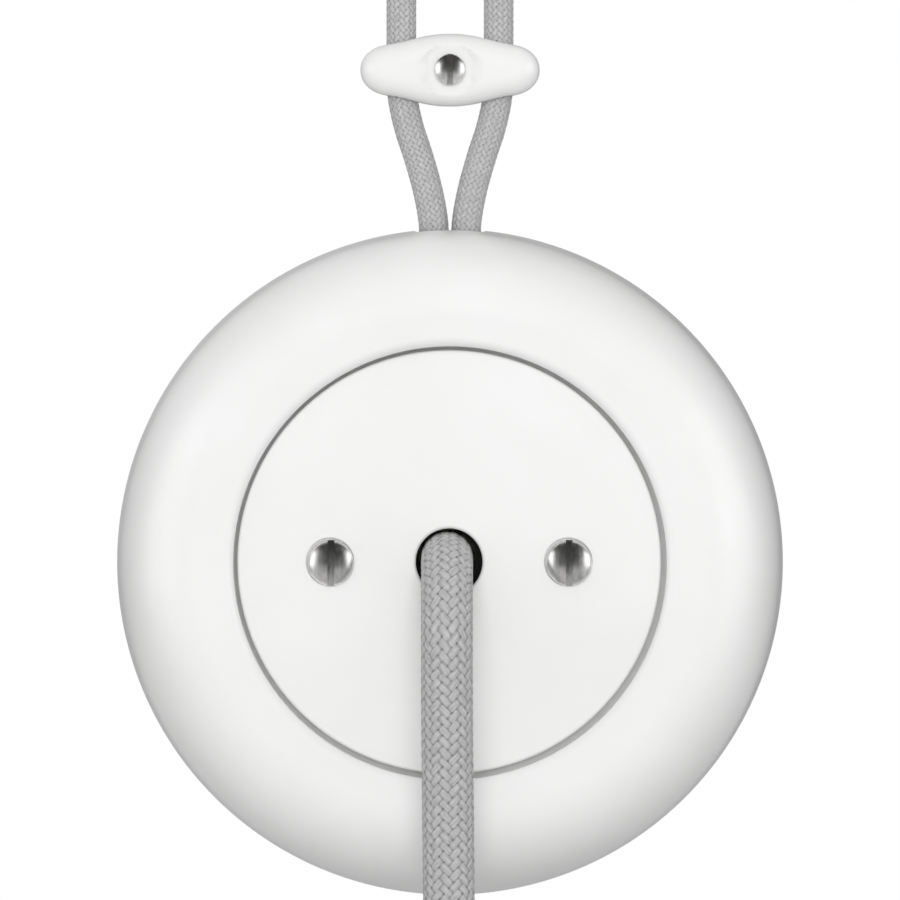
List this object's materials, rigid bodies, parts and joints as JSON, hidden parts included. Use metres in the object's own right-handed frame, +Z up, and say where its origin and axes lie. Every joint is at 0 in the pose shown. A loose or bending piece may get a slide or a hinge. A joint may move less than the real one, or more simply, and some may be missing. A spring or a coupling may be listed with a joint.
{
  "type": "pull cord switch",
  "caption": "Surface-mounted round porcelain pull cord switch with braided pull cord, knob, supply wires and a wall cleat.",
  "frame": {"origin": "centre of the base plate's back face, which lies on the wall", "axes": "+Z up along the wall, +X to the right seen from the front, +Y into the wall; the switch stands out towards -Y"},
  "size_m": [0.1, 0.0575, 0.2727],
  "materials": {
    "porcelain": "glazed white porcelain, satin gloss",
    "nickel_plated_steel": "nickel plated, lightly worn",
    "brass": "turned brass",
    "grommet_rubber": "matte moulded rubber",
    "black_thermoset": "black thermoset moulding",
    "white_nylon": "natural nylon moulding",
    "spring_steel": "spring steel, oiled",
    "silver_contact": "silver contact metal",
    "copper": "bare copper",
    "wire_braid": "fine grey textile braid",
    "cord_braid": "heathered grey cotton braid",
    "tie_tape": "woven tape"
  },
  "bodies": {
    "root": {"base_plate": "porcelain", "ring_cover": "porcelain", "disc_cover": "porcelain", "cover_screws": "nickel_plated_steel", "pillar_inserts": "brass", "wire_grommet": "grommet_rubber", "mechanism_chassis": "black_thermoset", "mechanism_front_plate": "black_thermoset", "mechanism_screws": "nickel_plated_steel", "cord_bush": "black_thermoset", "return_spring": "spring_steel", "detent_spring": "spring_steel", "contact_pivot_pin": "spring_steel", "contact_spring": "spring_steel", "fixed_contact": "silver_contact", "feed_busbar": "copper", "contact_busbar": "copper", "terminal_blocks": "brass", "terminal_screws": "nickel_plated_steel", "wire_cores": "copper", "supply_wire_left": "wire_braid", "supply_wire_right": "wire_braid", "wire_end_left": "copper", "wire_end_right": "copper", "cleat_base": "porcelain", "cleat_cap": "porcelain", "cleat_screw": "nickel_plated_steel"},
    "cord_exit": {"pull_cord_exit": "cord_braid"},
    "pull_cord": {"pull_cord_drop": "cord_braid", "pull_cord_coil": "cord_braid", "pull_cord_end": "cord_braid", "cord_ties": "tie_tape", "pull_knob": "porcelain", "knob_knot": "cord_braid"},
    "shuttle": {"cord_shuttle": "white_nylon", "cord_ferrule": "brass"},
    "drive_shaft": {"drive_axle": "spring_steel", "drive_pinion": "white_nylon", "ratchet_wheel": "spring_steel", "switch_cam": "black_thermoset"},
    "contact_lever": {"contact_arm": "brass", "moving_contact": "silver_contact"}
  },
  "joints": [
    {"name": "cord_swing", "type": "hinge", "parent": "root", "child": "cord_exit", "pos_m": [-0.00045, -0.03, 0.00085], "axis": [0, 1, 0], "range_deg": [-20, 20]},
    {"name": "cord_pull", "type": "slide", "parent": "cord_exit", "child": "pull_cord", "axis": [0, 0, -1], "range_m": [0, 0.007], "stiffness_N_per_m": 600, "springref_m": -0.006},
    {"name": "shuttle_slide", "type": "slide", "parent": "root", "child": "shuttle", "axis": [0, -1, 0], "range_m": [0, 0.0071], "deforming": ["return_spring"]},
    {"name": "shaft_turn", "type": "hinge", "parent": "root", "child": "drive_shaft", "pos_m": [0, -0.0155, -0.01346], "axis": [1, 0, 0], "range_deg": [0, 91], "deforming": ["detent_spring"]},
    {"name": "contact_turn", "type": "hinge", "parent": "root", "child": "contact_lever", "pos_m": [0, -0.0085, -0.019], "axis": [1, 0, 0], "range_deg": [0, 13.2], "deforming": ["contact_spring"]}
  ],
  "couplings": [
    {"joint": "shuttle_slide", "follows": "cord_pull", "ratio": 1},
    {"joint": "shaft_turn", "follows": "cord_pull", "rad_per_m": 224.4},
    {"joint": "contact_turn", "follows": "cord_pull", "rad_per_m": 32.1}
  ]
}
